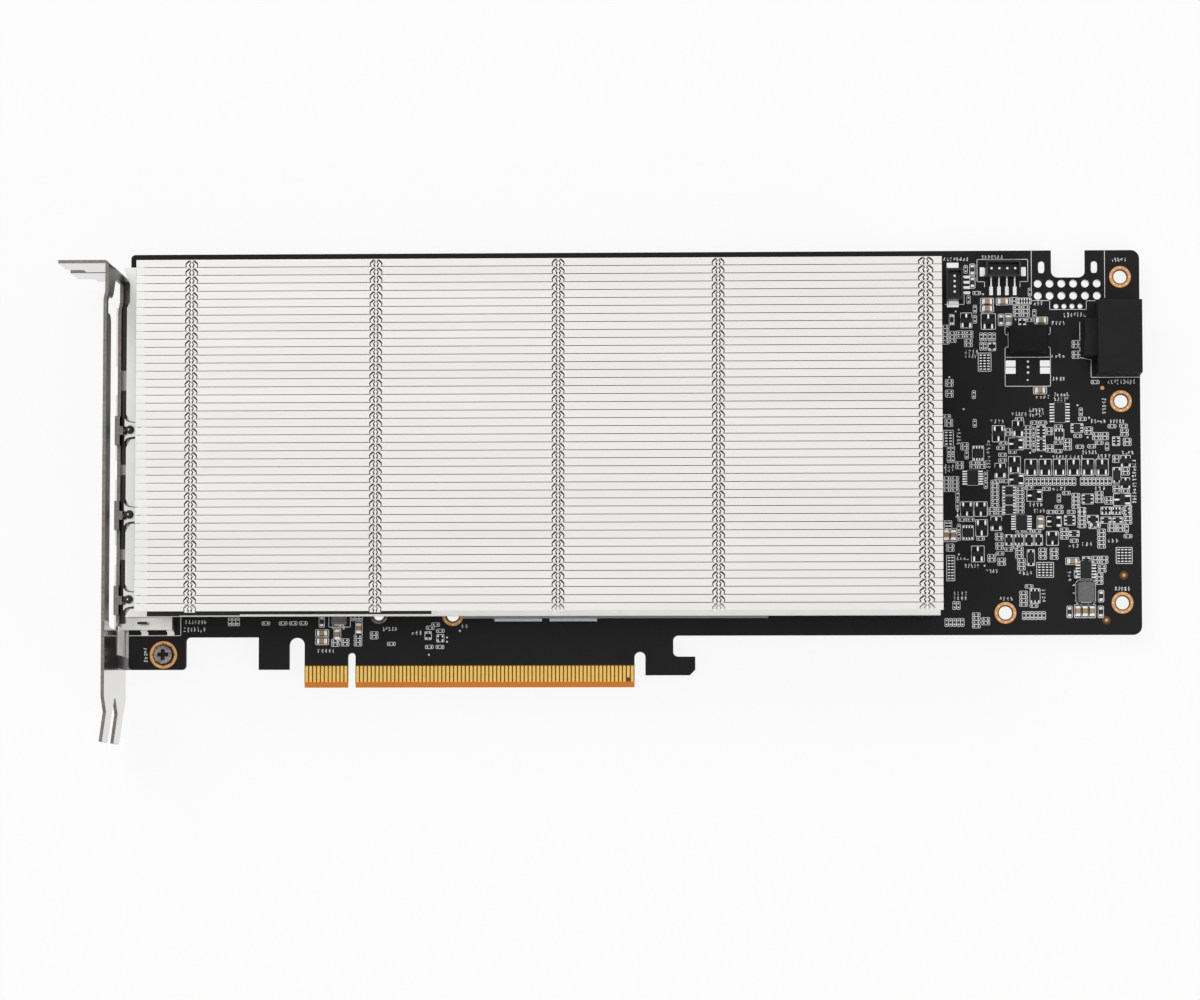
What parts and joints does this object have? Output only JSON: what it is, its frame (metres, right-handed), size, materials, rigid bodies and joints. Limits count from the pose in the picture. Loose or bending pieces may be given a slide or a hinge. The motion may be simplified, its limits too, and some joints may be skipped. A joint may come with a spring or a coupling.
{
  "type": "passive accelerator card",
  "caption": "Dual-slot expansion card with a black circuit board, a long folded-fin aluminium heatsink, no fan, a vented slot bracket with display sockets and an end power socket.",
  "frame": {"origin": "middle of the edge connector's key notch, at the foot of the contacts, on the board's component face", "axes": "+X along the board away from the slot bracket, +Y from the edge connector to the board's top edge, +Z from the component face up through the heatsink"},
  "size_m": [0.2714, 0.1255, 0.0387],
  "materials": {
    "board_laminate": "satin black solder mask over glass-fibre laminate",
    "contact_gold": "hard gold plating",
    "ring_copper": "bare copper-gold plating",
    "nut_steel": "tinned steel",
    "bracket_steel": "bright nickel plating",
    "screw_steel": "nickel plating",
    "shell_steel": "bright nickel plating",
    "socket_moulding": "moulded plastic",
    "package_laminate": "laminate",
    "stiffener_metal": "nickel plating",
    "silicon": "polished silicon",
    "chip_moulding": "moulded epoxy",
    "thermal_pad": "soft grey pad",
    "choke_moulding": "pressed iron powder",
    "capacitor_moulding": "moulded epoxy",
    "plate_metal": "nickel-plated copper",
    "pipe_metal": "nickel-plated copper",
    "sink_aluminium": "bare satin aluminium",
    "film": "thin black film",
    "brace_steel": "plated spring steel",
    "pin_metal": "tinned copper alloy",
    "header_moulding": "moulded plastic",
    "inductor_moulding": "pressed metal powder",
    "ceramic": "fired ceramic"
  },
  "bodies": {
    "root": {"circuit_board": "board_laminate", "edge_contacts_front": "contact_gold", "edge_contacts_back": "contact_gold", "ground_rings": "ring_copper", "clinch_nut": "nut_steel", "io_bracket": "bracket_steel", "bracket_screws": "screw_steel", "brace_screws": "screw_steel", "display_shell_1": "shell_steel", "display_insulator_1": "socket_moulding", "display_shell_2": "shell_steel", "display_insulator_2": "socket_moulding", "display_shell_3": "shell_steel", "display_insulator_3": "socket_moulding", "display_shell_4": "shell_steel", "display_insulator_4": "socket_moulding", "package_substrate": "package_laminate", "package_stiffener": "stiffener_metal", "processor_die": "silicon", "memory_chip_1": "chip_moulding", "memory_chip_2": "chip_moulding", "memory_chip_3": "chip_moulding", "memory_chip_4": "chip_moulding", "memory_chip_5": "chip_moulding", "memory_chip_6": "chip_moulding", "memory_chip_7": "chip_moulding", "memory_chip_8": "chip_moulding", "memory_chip_9": "chip_moulding", "memory_chip_10": "chip_moulding", "memory_chip_11": "chip_moulding", "memory_chip_12": "chip_moulding", "memory_pads": "thermal_pad", "choke_pads": "thermal_pad", "power_chokes": "choke_moulding", "power_switches": "chip_moulding", "logic_chips": "chip_moulding", "small_transistors": "chip_moulding", "bulk_capacitors": "capacitor_moulding", "cold_plate": "plate_metal", "cold_plate_standoffs": "plate_metal", "heat_pipe_1": "pipe_metal", "heat_pipe_2": "pipe_metal", "heat_pipe_3": "pipe_metal", "heat_pipe_4": "pipe_metal", "heat_pipe_5": "pipe_metal", "fin_carrier": "sink_aluminium", "fin_stack": "sink_aluminium", "brace_insulator": "film", "rear_brace": "brace_steel", "power_socket": "socket_moulding", "socket_pins": "pin_metal", "header_pins": "pin_metal", "fan_header": "header_moulding", "side_header": "header_moulding", "large_inductor": "inductor_moulding", "input_inductor": "inductor_moulding", "filter_inductor": "inductor_moulding", "ceramic_capacitors": "ceramic"}
  },
  "joints": []
}
